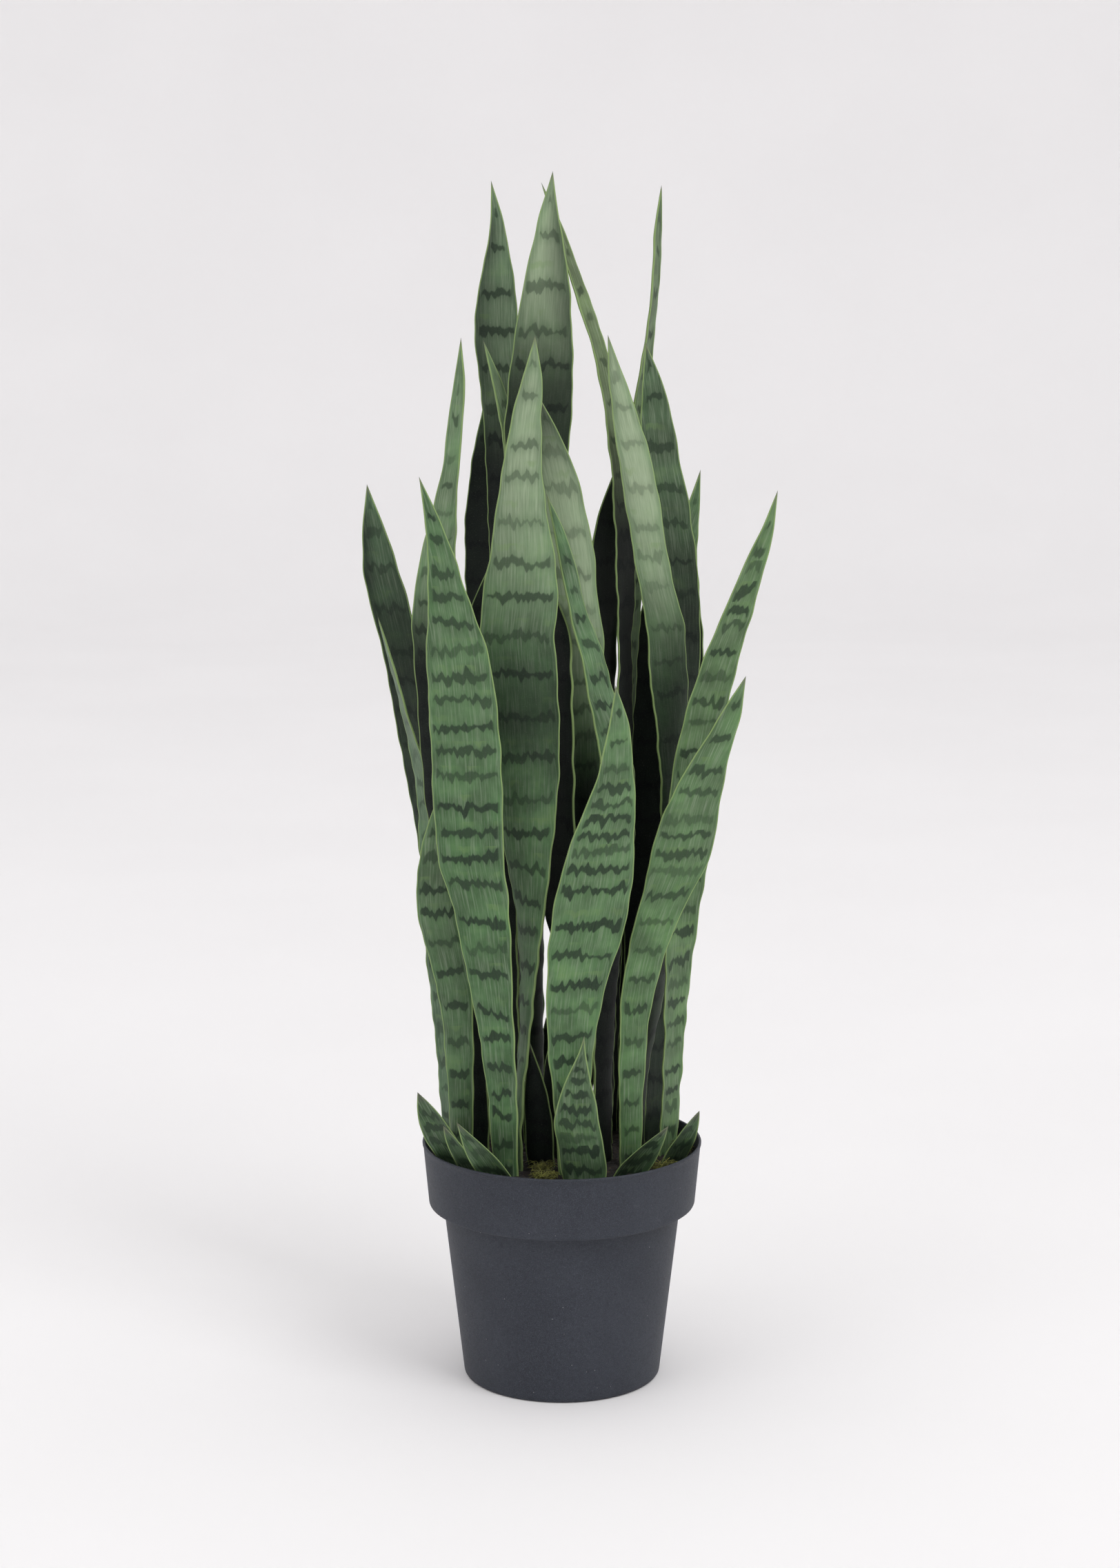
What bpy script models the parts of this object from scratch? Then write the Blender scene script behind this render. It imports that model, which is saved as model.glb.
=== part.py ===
"""Potted snake plant: a dense clump of upright banded leaves in a round plastic nursery pot.

Frame: metres, +Z up, origin at the middle of the pot's underside, the plant's front facing -Y.
Run with: blender --background --python part.py
"""

import math
from dataclasses import dataclass

import bmesh
import bpy
import numpy as np

MM = 0.001
CLEARANCE = 0.0004  # kept between pieces that touch

# Pot
POT_HEIGHT = 0.190
RIM_RADIUS = 0.110
COLLAR_FOOT_RADIUS = 0.1050
COLLAR_FOOT_HEIGHT = 0.140
BODY_TOP_RADIUS = 0.0932
BASE_RADIUS = 0.0780
WALL = 0.0024
BASE_ROUNDING = 0.003
FLOOR_THICKNESS = 0.003
RIM_CHAMFER = 0.0006
RIM_BEAD_DROP = 0.006  # the thicker bead at the rim ends this far down
RIM_BEAD = 0.0008
COLLAR_LIP = 0.0010  # rounding where the collar turns in
SHOULDER_DROP = 0.0055  # from the collar's foot to where the straight body starts
POCKET_TOP = 0.001  # how far a leaf's cutter stands out of the soil
DRAIN_HOLE_RADIUS = 0.006
DRAIN_RING_RADIUS = 0.048
DRAIN_HOLE_COUNT = 6
TURN_STEPS = 48

# Soil and what it holds
SOIL_EDGE_HEIGHT = 0.1745
SOIL_CROWN_HEIGHT = 0.1765
RHIZOME_RADIUS = 0.008
RHIZOME_HEIGHT = 0.148
POCKET_DEPTH = 0.0035  # soil pocket below each leaf foot, which opens into the rhizome's hollow

# Leaves
FOOT = 157  # mm, the height at which the leaves spring from the rhizomes
STATIONS_PER_METRE = 24
FEWEST_STATIONS = 8
LEAF_HALF_THICKNESS = 0.0019
FOOT_HALF_THICKNESS = 0.0030
TIP_HALF_THICKNESS = 0.0008
NARROWEST = 0.0006
SECTION = (  # a leaf's outline across: place as a share of the half width, and of the half thickness
    (-1, 0), (-0.55, -0.85), (0, -1), (0.55, -0.85), (1, 0), (0.55, 0.85), (0, 1), (-0.55, 0.85),
)

COLOURS = {
    "pot_plastic": ((0.042, 0.045, 0.058), 0.62),
    "leaf_green": ((0.060, 0.140, 0.065), 0.50),
    "soil": ((0.020, 0.014, 0.010), 0.95),
    "moss": ((0.140, 0.150, 0.030), 0.90),
    "rhizome": ((0.420, 0.260, 0.110), 0.70),
}


@dataclass(frozen=True)
class Leaf:
    """One leaf: rows of (height, sideways place, half width, turn), in mm and degrees, from foot to tip.

    The turn is about the leaf's own length: 0 faces the front, plus faces right, minus faces left.
    depths are the places along Y of the foot and the tip, in mm, and bow adds a sag between them.
    channel is how far the margins stand forward of the middle, as a share of the half width.
    """

    name: str
    depths: tuple
    channel: float
    rows: tuple
    bow: float = 0.0


LEAVES = (
    Leaf("leaf_front_left", (-50, -85), -0.16, (
        (FOOT, -44, 10, -24), (235, -46, 12, -20), (311, -53, 15.5, -14), (358, -58, 19.5, -8),
        (388, -61, 21, -5), (425, -69, 25, -4), (475, -71, 26.5, -3), (527, -73, 26, -2),
        (591, -79, 22.5, 0), (628, -85, 14.5, 4), (662, -90, 9.5, 6), (695, -98, 4, 6), (718, -105, 0, 6))),
    Leaf("leaf_centre_broad", (-27, -31), -0.13, (
        (FOOT, -35, 10, -72), (224, -35, 10.5, -76), (282, -30, 12, -72), (346, -27, 14.5, -60),
        (379, -26, 17, -50), (416, -27, 20, -34), (441, -28, 22.5, -20), (485, -28, 26, -8),
        (548, -31, 28.5, -3), (606, -34, 28.5, 0), (633, -30, 28.5, 4), (652, -29, 25, 6),
        (675, -31, 21.5, 8), (704, -30, 17, 10), (753, -27, 12, 10), (784, -22, 8.5, 10),
        (803, -21, 4, 10), (819, -20, 0, 10)), bow=-3),
    Leaf("leaf_centre_tallest", (22, 42), -0.12, (
        (FOOT, -18, 10, 52), (296, -21, 15, 63), (407, -20, 17, 58), (543, -19, 20, 42),
        (651, -20, 22, 20), (704, -20, 24, 4), (734, -20, 25.5, 0), (757, -18, 26, -2),
        (805, -15, 23.5, -4), (837, -13, 20.5, -6), (873, -11, 15, -6), (893, -10, 11.5, -6),
        (912, -10, 6.5, -6), (927, -9, 2.2, -6), (941, -7, 0, -6)), bow=4),
    Leaf("leaf_back_left_tall", (45, 85), 0.14, (
        (FOOT, -34, 10, -56), (318, -36, 11.5, -58), (484, -40, 16.5, -58), (647, -43, 17, -43),
        (734, -45, 16, -24), (776, -47, 16.5, -14), (808, -50, 18, -8), (841, -51, 16.5, -4),
        (856, -50, 14, 0), (880, -50, 9, 2), (901, -50, 5.7, 4), (922, -52, 2.4, 4), (935, -55, 0, 4)), bow=-3),
    Leaf("leaf_back_left_shaded", (62, 106), 0.16, (
        (FOOT, -46, 10, -58), (369, -50, 14, -50), (536, -55, 19, -44), (608, -58, 20, -36),
        (651, -58, 20.5, -26), (716, -54, 17.5, -12), (741, -53, 13.7, -10), (763, -52, 9.5, -10),
        (791, -51, 4.2, -8), (808, -51, 0, -8)), bow=2),
    Leaf("leaf_back_left_narrow", (33, 58), 0.14, (
        (FOOT, -21, 9, 58), (375, -25, 14, 56), (595, -30, 15, 54), (702, -35, 13, 50),
        (739, -40, 9, 42), (766, -46, 6, 38), (785, -52, 4, 34), (801, -57, 2.4, 30), (813, -61, 0, 30))),
    Leaf("leaf_back_leaning_narrow", (32, 55), 0.16, (
        (FOOT, 33, 9.5, 58), (321, 35, 15, 62), (432, 41, 17, 64), (522, 47, 17, 66),
        (577, 47, 16, 72), (618, 48, 15, 61), (659, 48, 14, 54), (700, 46, 12.5, 51),
        (739, 42, 9.5, 40), (779, 35, 7.8, 42), (808, 28, 6.8, 43), (841, 17, 6.2, 39),
        (878, 4, 4.8, 38), (905, -5, 3.4, 36), (933, -16, 0, 36)), bow=4),
    Leaf("leaf_right_pale", (22, 27), -0.16, (
        (FOOT, 60, 9.5, 52), (255, 66, 10.5, 54), (287, 73, 14, 58), (383, 84, 16, 56),
        (459, 90, 17, 52), (514, 88, 17, 41), (570, 83, 17.5, 28), (604, 80, 14.4, 10),
        (641, 69, 13, 8), (673, 66, 13.4, 8), (706, 59, 13.4, 8), (736, 54, 11.8, 8),
        (773, 44, 7.8, 8), (793, 40, 5, 8), (809, 37, 1.8, 8), (818, 35, 0, 8))),
    Leaf("leaf_right_dark", (50, 62), 0.13, (
        (FOOT, 72, 10, 40), (250, 77, 14, 42), (374, 87, 17, 50), (485, 93, 18, 46), (564, 93, 18, 34),
        (605, 92, 18, 27), (642, 89, 16.5, 12), (676, 85, 16.5, 10), (711, 78, 15.4, 8),
        (735, 75, 13.8, 8), (758, 73, 12.2, 8), (780, 70, 8.3, 8), (797, 68, 4.8, 8), (811, 65, 0, 8)), bow=5),
    Leaf("leaf_back_right_slender", (71, 105), 0.18, (
        (FOOT, 38, 8.5, 55), (300, 41, 9.6, 60), (424, 44.5, 11.5, 63), (590, 54, 10.5, 52), (700, 59, 10.5, 50),
        (766, 62, 8.6, 46), (785, 64, 8.2, 48), (806, 67, 7.6, 66), (839, 71, 7, 67),
        (862, 73, 6.4, 65), (886, 74, 6, 58), (903, 75, 4.6, 54), (919, 77, 2.2, 54), (932, 78, 0, 54)), bow=-6),
    Leaf("leaf_back_right_broad", (73, 101), 0.12, (
        (FOOT, 57, 9.5, -18), (200, 58, 11, -14), (300, 65, 15, 2), (370, 71, 21, 6),
        (430, 78, 24, 6), (500, 83, 27.5, 4),
        (560, 86, 28, 2), (600, 87, 24, 2), (640, 92, 16, 8), (663, 99, 9, 16), (685, 106, 4.6, 20),
        (699, 109, 2.6, 20), (710, 110, 0, 20)), bow=4),
    Leaf("leaf_back_low_right", (85, 104), 0.12, (
        (FOOT, 44, 8, 4), (200, 45, 12, 2), (260, 48, 15, 0), (320, 50, 16, 0), (370, 50, 13, 0),
        (405, 49, 7.5, 0), (425, 48, 3, 0), (440, 48, 0, 0))),
    Leaf("shoot_back_centre", (80, 98), 0.14, (
        (FOOT, -8, 9, -4), (190, -9, 13, -2), (215, -10, 13.5, 0), (235, -11, 9.5, 0),
        (252, -12, 4, 0), (264, -13, 0, 0))),
    Leaf("leaf_back_centre_shaded", (53, 69), 0.16, (
        (FOOT, 15, 9, 50), (300, 20, 14, 60), (428, 28, 16, 63), (535, 33, 16, 65), (592, 33, 16, 58),
        (620, 34, 16, 48), (660, 33, 14, 36), (680, 36, 8.2, 22), (693, 38, 4.4, 20), (711, 41, 0, 20))),
    Leaf("leaf_inner_right_broad", (7, 12), -0.12, (
        (FOOT, 15, 9.5, 40), (301, 15, 12, 42), (438, 14, 18, 36), (546, 14, 19, 16),
        (592, 13, 20, 10), (616, 10, 18, 8), (653, 6, 19.3, 6), (692, 0, 16.4, 4),
        (719, -5, 14, 4), (736, -9, 10.5, 4), (753, -13, 6.2, 4), (771, -17, 0, 4))),
    Leaf("leaf_inner_folded", (-13, -11), -0.2, (
        (FOOT, 34, 9, 46), (244, 34, 13, 56), (333, 38, 16, 56), (442, 47, 17, 46),
        (504, 43, 16.5, 42), (545, 31, 11.5, 34), (571, 26, 11, 34), (589, 20, 8.8, 34),
        (611, 12, 7.4, 36), (631, 8, 7, 32), (651, 4, 6.6, 28), (665, 0, 5.2, 24), (685, -6, 2.8, 20),
        (700, -12, 0, 20))),
    Leaf("leaf_front_right_broad", (-42, -75), -0.13, (
        (FOOT, 8, 10, 20), (235, 8, 14.4, 14), (267, 7, 17.2, 10), (295, 8, 19.8, 8),
        (321, 10, 22, 6), (352, 15, 26, 5), (374, 20, 28.6, 4), (403, 25, 28.2, 4),
        (424, 29, 26.3, 5), (442, 32, 23.8, 6), (465, 37, 19.3, 8), (487, 41, 14.6, 10),
        (506, 42, 11.8, 10), (522, 42, 9, 10), (538, 43, 6.8, 10), (550, 41, 3.4, 10), (562, 40, 0, 10))),
    Leaf("leaf_front_right_leaning", (-22, -60), -0.15, (
        (FOOT, 54, 8.5, 24), (262, 55, 11, 18), (312, 58, 12.5, 14), (348, 65, 15.2, 12),
        (373, 72, 15.6, 10), (400, 81, 18.5, 8), (418, 88, 21.8, 6), (436, 94, 23.5, 5),
        (452, 97, 22.2, 5), (480, 105, 17, 6), (504, 114, 12.6, 8), (528, 124, 8.4, 10),
        (548, 132, 6.4, 10), (567, 138, 0, 10))),
    Leaf("leaf_right_leaning_tall", (12, -6), 0.14, (
        (FOOT, 82, 9, 42), (248, 86, 13, 54), (319, 89, 16, 50), (375, 93, 18, 41),
        (414, 96, 19.5, 30), (460, 100, 19, 12), (501, 105, 17.4, 8), (544, 114, 14.8, 6),
        (578, 124, 13, 6), (600, 132, 11.2, 6), (630, 142, 9.4, 6), (656, 151, 7, 6),
        (678, 159, 3.9, 6), (702, 164, 0, 6))),
    Leaf("leaf_left_wavy", (2, -10), -0.14, (
        (FOOT, -66, 9.5, -34), (225, -69, 12, -24), (302, -77, 14, -28), (385, -86, 14.2, -24),
        (467, -92, 18, -28), (548, -96, 17, -10), (590, -98, 17.6, -8), (610, -100, 19.2, -6), (627, -97, 16, -6),
        (650, -94, 12.8, -8), (672, -93, 12.8, -8), (689, -89, 9.1, -10), (713, -85, 6.4, -12),
        (742, -82, 6.4, -14), (778, -78, 5, -16), (799, -76, 2.8, -16), (817, -76, 0, -16))),
    Leaf("leaf_far_left", (42, 40), 0.15, (
        (FOOT, -80, 8.5, -54), (321, -93, 13, -58), (433, -105, 15, -53), (507, -116, 16, -44),
        (557, -122, 17, -34), (588, -128, 15, -18), (614, -135, 15.8, -14), (628, -139, 15, -12),
        (650, -143, 13, -10), (667, -146, 9.4, -10), (681, -148, 6, -10), (692, -150, 2.8, -10),
        (703, -151, 0, -10))),
    Leaf("leaf_far_left_edge", (20, 12), 0.12, (
        (FOOT, -87, 8.5, -54), (278, -94, 9.4, -48), (331, -99, 10, -46), (427, -104, 10.4, -50),
        (473, -107, 10.2, -56), (494, -112, 9.6, -62), (512, -117, 8.6, -68), (534, -122.5, 7.4, -74),
        (559, -129, 6, -75), (583, -136, 3.6, -70), (603, -142, 0, -66))),
    Leaf("leaf_front_left_low", (-12, -45), -0.15, (
        (FOOT, -79, 9, -24), (258, -80, 11.5, -18), (302, -82, 13.2, -14), (329, -85, 14.2, -12),
        (351, -90, 15.8, -10), (379, -95, 17.2, -8), (403, -96, 17, -8), (431, -94, 14, -8),
        (452, -92, 9.6, -8), (472, -90, 5, -8), (490, -88, 0, -8))),
    Leaf("leaf_inner_left", (0, 6), -0.14, (
        (FOOT, -40, 9.5, -44), (384, -49, 17, -44), (493, -56, 20, -38), (573, -58, 19, -27),
        (613, -56, 14, -8), (632, -52, 8.4, -6), (653, -49, 3.4, -4), (670, -49, 0, -4))),
    Leaf("leaf_inner_centre", (-4, 0), -0.14, (
        (FOOT, -6, 10.5, -24), (250, -4, 11.5, -24), (288, 1, 12.5, -50), (342, 1, 13, -52),
        (385, -5, 18, -46), (427, -4, 19, -52), (507, -3, 18, -56),
        (577, -3, 15, -54), (596, -2, 11, -46), (610, -4, 3.4, -20), (622, -5, 0, -20))),
    Leaf("shoot_inner_centre", (-25, -30), -0.16, (
        (FOOT, -14, 9, -6), (173, -16, 10.5, -6), (201, -18, 11.2, -6), (231, -20, 9.9, -4),
        (248, -22, 6.8, -4), (277, -25, 0, -4))),
    Leaf("shoot_front", (-66, -82), -0.3, (
        (FOOT, 19, 12, 4), (177, 18, 17.4, 4), (196, 16, 17.8, 2), (211, 13, 17.8, 0),
        (228, 10, 17, 0), (246, 12, 13.2, 0), (262, 13, 8.4, 0), (277, 15, 3.4, 0), (295, 17, 0, 0))),
    Leaf("shoot_left_outer", (-34, -58), 0.3, (
        (FOOT, -70, 9, -56), (178, -78, 13, -48), (196, -86, 15, -38), (210, -94, 14.5, -32),
        (224, -101, 11, -28), (236, -107, 5, -26), (244, -111, 0, -26))),
    Leaf("shoot_left_middle", (-56, -70), 0.28, (
        (FOOT, -60, 8, -44), (172, -64, 9, -42), (188, -72, 9.4, -38), (202, -80, 7.6, -34),
        (212, -86, 4.4, -32), (221, -91, 0, -30))),
    Leaf("shoot_left_low", (-68, -92), 0.28, (
        (FOOT, -38, 9.5, -26), (172, -43, 12, -24), (188, -52, 13, -24), (202, -62, 11, -24),
        (216, -71, 6, -26), (230, -80, 0, -26))),
    Leaf("shoot_right_low", (-42, -54), 0.28, (
        (FOOT, 40, 9, 24), (168, 45, 11.5, 26), (182, 55, 12.5, 28), (194, 65, 10.5, 28),
        (205, 74, 6, 28), (216, 82, 0, 28))),
    Leaf("shoot_right_outer", (-6, -32), 0.28, (
        (FOOT, 78, 9, 44), (174, 84, 11.5, 42), (188, 90, 12, 40), (200, 96, 10, 38),
        (212, 102, 5.4, 36), (222, 107, 0, 36))),
)

RHIZOMES = {
    "rhizome_left": ((-86, 14), (-78, -6), (-66, -26), (-50, -44), (-34, -34), (-16, -27)),
    "rhizome_back": ((-78, 36), (-50, 52), (-30, 42), (-8, 38), (16, 50), (36, 50), (56, 68)),
    "rhizome_right": ((18, -60), (12, -44), (34, -24), (54, -20), (68, 4), (82, 26)),
    "rhizome_centre": ((-44, 0), (-22, 14), (-4, 2), (16, 10), (30, 24)),
}

MOSS_CLUMPS = {  # name: (x, y, half length, half width, turn), mm and degrees
    "moss_right": (80, -42, 11, 7, 30),
    "moss_front": (-13, -66, 9, 7, 5),
    "moss_front_left": (-15, -44, 7, 5, -20),
    "moss_right_edge": (96, 6, 8, 4.5, 80),
}
MOSS_RISE = 0.006


def principled(name):
    """The named material, made on first use."""
    found = bpy.data.materials.get(name)
    if found:
        return found
    colour, roughness = COLOURS[name]
    material = bpy.data.materials.new(name)
    material.use_nodes = True
    shader = material.node_tree.nodes["Principled BSDF"]
    shader.inputs["Base Color"].default_value = (*colour, 1)
    shader.inputs["Roughness"].default_value = roughness
    shader.inputs["Metallic"].default_value = 0
    return material


def add_object(name, mesh, collection, material=None):
    """Puts a mesh in the scene, as a part with a material or as a hidden cutter."""
    obj = bpy.data.objects.new(name, mesh)
    collection.objects.link(obj)
    if material:
        mesh.materials.append(principled(material))
    else:
        obj.hide_render = True
        obj.display_type = "WIRE"
    return obj


def cut(obj, cutter):
    """Subtracts a cutter from an object."""
    modifier = obj.modifiers.new(f"minus {cutter.name}", "BOOLEAN")
    modifier.operation = "DIFFERENCE"
    modifier.solver = "EXACT"
    modifier.object = cutter


def turned(name, profile, collection, material):
    """A solid of revolution: its profile of (radius, height) ends run down the outer side to the axis."""
    mesh = bpy.data.meshes.new(name)
    edges = [(i, i + 1) for i in range(len(profile) - 1)]
    mesh.from_pydata([(radius, 0, height) for radius, height in profile], edges, [])
    obj = add_object(name, mesh, collection, material)
    screw = obj.modifiers.new("turn", "SCREW")
    screw.steps = screw.render_steps = TURN_STEPS
    screw.use_merge_vertices = True
    screw.merge_threshold = 0.00001
    screw.use_smooth_shade = True
    return obj


def pot_inside(margin=0.0):
    """The pot's inner profile from the floor's middle to the rim, drawn in by a margin."""
    step = COLLAR_FOOT_HEIGHT - WALL
    slope = (BODY_TOP_RADIUS - BASE_RADIUS) / step
    foot = BASE_RADIUS + slope * FLOOR_THICKNESS - WALL
    return (
        (0, FLOOR_THICKNESS + margin),
        (foot - margin, FLOOR_THICKNESS + margin),
        (BODY_TOP_RADIUS - WALL - margin, step + margin),
        (COLLAR_FOOT_RADIUS - WALL - margin, COLLAR_FOOT_HEIGHT + margin),
        (RIM_RADIUS - WALL - margin, POT_HEIGHT - RIM_CHAMFER),
    )


def pot_outside():
    """The pot's outer profile from the rim to the underside's middle."""
    rounding = [
        (
            BASE_RADIUS - BASE_ROUNDING * (1 - math.cos(angle)),
            BASE_ROUNDING * (1 - math.sin(angle)),
        )
        for angle in np.radians((0, 30, 60, 90))
    ]
    return (
        (RIM_RADIUS - WALL + RIM_CHAMFER, POT_HEIGHT),
        (RIM_RADIUS - RIM_CHAMFER, POT_HEIGHT),
        (RIM_RADIUS, POT_HEIGHT - RIM_CHAMFER),
        (RIM_RADIUS - RIM_BEAD, POT_HEIGHT - RIM_BEAD_DROP),
        (COLLAR_FOOT_RADIUS, COLLAR_FOOT_HEIGHT + COLLAR_LIP),
        (COLLAR_FOOT_RADIUS - COLLAR_LIP, COLLAR_FOOT_HEIGHT - COLLAR_LIP),
        (BODY_TOP_RADIUS + COLLAR_LIP, COLLAR_FOOT_HEIGHT - SHOULDER_DROP * 0.6),
        (BODY_TOP_RADIUS, COLLAR_FOOT_HEIGHT - SHOULDER_DROP),
        *rounding,
        (0, 0),
    )


def make_pot(parts, cutters):
    """The nursery pot: a thin stepped shell with a deep collar and drain holes in its floor."""
    pot = turned("pot", (*pot_inside(), *pot_outside()), parts, "pot_plastic")
    for i in range(DRAIN_HOLE_COUNT):
        angle = math.tau * (i + 0.5) / DRAIN_HOLE_COUNT
        hole = bmesh.new()
        bmesh.ops.create_cone(
            hole, cap_ends=True, segments=20, depth=FLOOR_THICKNESS * 4,
            radius1=DRAIN_HOLE_RADIUS, radius2=DRAIN_HOLE_RADIUS,
        )
        mesh = bpy.data.meshes.new(f"drain_cutter_{i}")
        hole.to_mesh(mesh)
        hole.free()
        cutter = add_object(mesh.name, mesh, cutters)
        cutter.location = (DRAIN_RING_RADIUS * math.cos(angle), DRAIN_RING_RADIUS * math.sin(angle), 0)
        cut(pot, cutter)


def smooth_rows(heights, values, at):
    """Cubic through the rows' values, with slopes taken from each row's neighbours."""
    slopes = np.gradient(values, heights, axis=0)
    i = np.clip(np.searchsorted(heights, at) - 1, 0, len(heights) - 2)
    span = (heights[i + 1] - heights[i])[:, None]
    t = ((at - heights[i])[:, None]) / span
    return (
        (2 * t**3 - 3 * t**2 + 1) * values[i]
        + (t**3 - 2 * t**2 + t) * span * slopes[i]
        + (3 * t**2 - 2 * t**3) * values[i + 1]
        + (t**3 - t**2) * span * slopes[i + 1]
    )


def leaf_sections(leaf, grow=0.0):
    """Each station's eight section points, and the tip's place. grow thickens them for a cutter."""
    rows = np.array(leaf.rows, float)
    heights = rows[:, 0] * MM
    share = (rows[:, :1] - rows[0, 0]) / (rows[-1, 0] - rows[0, 0])
    depth = leaf.depths[0] + (leaf.depths[1] - leaf.depths[0]) * share + leaf.bow * 4 * share * (1 - share)
    values = np.hstack([rows[:, 1:2] * MM, depth * MM, rows[:, 2:3] * MM, np.radians(rows[:, 3:4])])
    count = max(FEWEST_STATIONS, round((heights[-1] - heights[0]) * STATIONS_PER_METRE) + 4)
    at = heights[0] + (heights[-1] - heights[0]) * np.linspace(0, 1, count) ** 0.9
    x, y, half, turn = smooth_rows(heights, values, at).T
    spine = np.stack([x, y, at], axis=1)
    along = np.gradient(spine, axis=0)
    along /= np.linalg.norm(along, axis=1, keepdims=True)
    sections = []
    for i in range(count - 1):
        flat_side = np.cross((0, 1, 0), along[i])
        flat_side /= np.linalg.norm(flat_side)
        flat_back = np.cross(along[i], flat_side)
        side = math.cos(turn[i]) * flat_side + math.sin(turn[i]) * flat_back
        back = np.cross(along[i], side)
        toward_tip = i / (count - 1)
        thick = LEAF_HALF_THICKNESS + (TIP_HALF_THICKNESS - LEAF_HALF_THICKNESS) * toward_tip**2
        thick = max(thick, FOOT_HALF_THICKNESS - 8 * toward_tip * LEAF_HALF_THICKNESS)
        wide = max(half[i], NARROWEST)
        thick = min(thick, 0.6 * wide) + grow
        ring = []
        for across, face in SECTION:
            reach = across * (wide + 2 * grow)
            cup = -leaf.channel * reach * reach / wide
            ring.append(spine[i] + side * reach + back * (cup + face * thick))
        sections.append(ring)
    return np.array(sections), spine[-1]


def loft(name, sections, tip=None):
    """A closed mesh through rings of eight points, with a flat foot and a point or a flat cap at the end."""
    shape = bmesh.new()
    rings = [[shape.verts.new(point) for point in ring] for ring in sections]
    sides = len(rings[0])
    shape.faces.new(rings[0])
    for lower, upper in zip(rings, rings[1:]):
        for j in range(sides):
            k = (j + 1) % sides
            shape.faces.new((lower[j], lower[k], upper[k]))
            shape.faces.new((lower[j], upper[k], upper[j]))
    if tip is None:
        shape.faces.new(rings[-1])
    else:
        point = shape.verts.new(tip)
        for j in range(sides):
            shape.faces.new((rings[-1][j], rings[-1][(j + 1) % sides], point))
    bmesh.ops.recalc_face_normals(shape, faces=shape.faces)
    mesh = bpy.data.meshes.new(name)
    shape.to_mesh(mesh)
    shape.free()
    mesh.shade_smooth()
    return mesh


def make_leaf(leaf, parts, cutters):
    """One leaf blade, and the cutter for its pocket in the soil."""
    sections, tip = leaf_sections(leaf)
    add_object(leaf.name, loft(leaf.name, sections, tip), parts, "leaf_green")
    sections, tip = leaf_sections(leaf, grow=CLEARANCE)
    below = sections[0] - (0, 0, POCKET_DEPTH)
    count = int(np.argmax(sections[:, :, 2].min(axis=1) > SOIL_CROWN_HEIGHT + POCKET_TOP)) + 1
    pocket = np.concatenate([below[None], sections[:count]])
    return add_object(f"{leaf.name}_pocket", loft(f"{leaf.name}_pocket", pocket), cutters)


def tube(name, path, radius, collection, material=None):
    """A round rod with closed ends along a smooth path of (x, y) places in mm, as a mesh."""
    points = np.array([(x * MM, y * MM, RHIZOME_HEIGHT) for x, y in path])
    steps = np.linspace(0, len(points) - 1, 3 * len(points) - 2)
    smooth = smooth_rows(np.arange(len(points), dtype=float), points, steps)
    curve = bpy.data.curves.new(name, "CURVE")
    curve.dimensions = "3D"
    curve.bevel_depth = radius
    curve.bevel_resolution = 2
    curve.use_fill_caps = True
    spline = curve.splines.new("POLY")
    spline.points.add(len(smooth) - 1)
    for point, place in zip(spline.points, smooth):
        point.co = (*place, 1)
    guide = bpy.data.objects.new(f"{name}_guide", curve)
    collection.objects.link(guide)
    graph = bpy.context.evaluated_depsgraph_get()
    mesh = bpy.data.meshes.new_from_object(guide.evaluated_get(graph))
    bpy.data.objects.remove(guide)
    shape = bmesh.new()
    shape.from_mesh(mesh)
    bmesh.ops.remove_doubles(shape, verts=shape.verts, dist=0.00001)
    bmesh.ops.recalc_face_normals(shape, faces=shape.faces)
    shape.to_mesh(mesh)
    shape.free()
    mesh.name = name
    mesh.shade_smooth()
    return add_object(name, mesh, collection, material)


def make_rhizomes(parts, cutters):
    """The creeping stems under the leaves, each in its own hollow in the soil."""
    hollows = []
    for name, path in RHIZOMES.items():
        tube(name, path, RHIZOME_RADIUS, parts, "rhizome")
        hollows.append(tube(f"{name}_hollow", path, RHIZOME_RADIUS + CLEARANCE, cutters))
    return hollows


def make_soil(parts, hollows):
    """The potting soil: a plug that fills the pot, with a pocket for every leaf and rhizome."""
    _, floor, step_low, step_high, _ = pot_inside(CLEARANCE)
    slope = (RIM_RADIUS - COLLAR_FOOT_RADIUS) / (POT_HEIGHT - COLLAR_FOOT_HEIGHT)
    edge = step_high[0] + slope * (SOIL_EDGE_HEIGHT - step_high[1])
    profile = (
        (0, SOIL_CROWN_HEIGHT), (0.6 * edge, SOIL_CROWN_HEIGHT - 0.0006),
        (edge, SOIL_EDGE_HEIGHT), step_high, step_low, floor, (0, floor[1]),
    )
    soil = turned("potting_soil", profile, parts, "soil")
    for hollow in hollows:
        cut(soil, hollow)


def make_moss(parts):
    """Low cushions of moss that lie on the soil."""
    for name, (x, y, length, width, turn) in MOSS_CLUMPS.items():
        clump = bmesh.new()
        bmesh.ops.create_uvsphere(clump, u_segments=16, v_segments=10, radius=1)
        bmesh.ops.bisect_plane(
            clump, geom=[*clump.verts, *clump.edges, *clump.faces], plane_co=(0, 0, 0),
            plane_no=(0, 0, -1), clear_outer=True,
        )
        bmesh.ops.holes_fill(clump, edges=clump.edges)
        bmesh.ops.scale(clump, vec=(length * MM, width * MM, MOSS_RISE), verts=clump.verts)
        bmesh.ops.recalc_face_normals(clump, faces=clump.faces)
        mesh = bpy.data.meshes.new(name)
        clump.to_mesh(mesh)
        clump.free()
        mesh.shade_smooth()
        moss = add_object(name, mesh, parts, "moss")
        moss.location = (x * MM, y * MM, SOIL_CROWN_HEIGHT + CLEARANCE)
        moss.rotation_euler.z = math.radians(turn)


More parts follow.
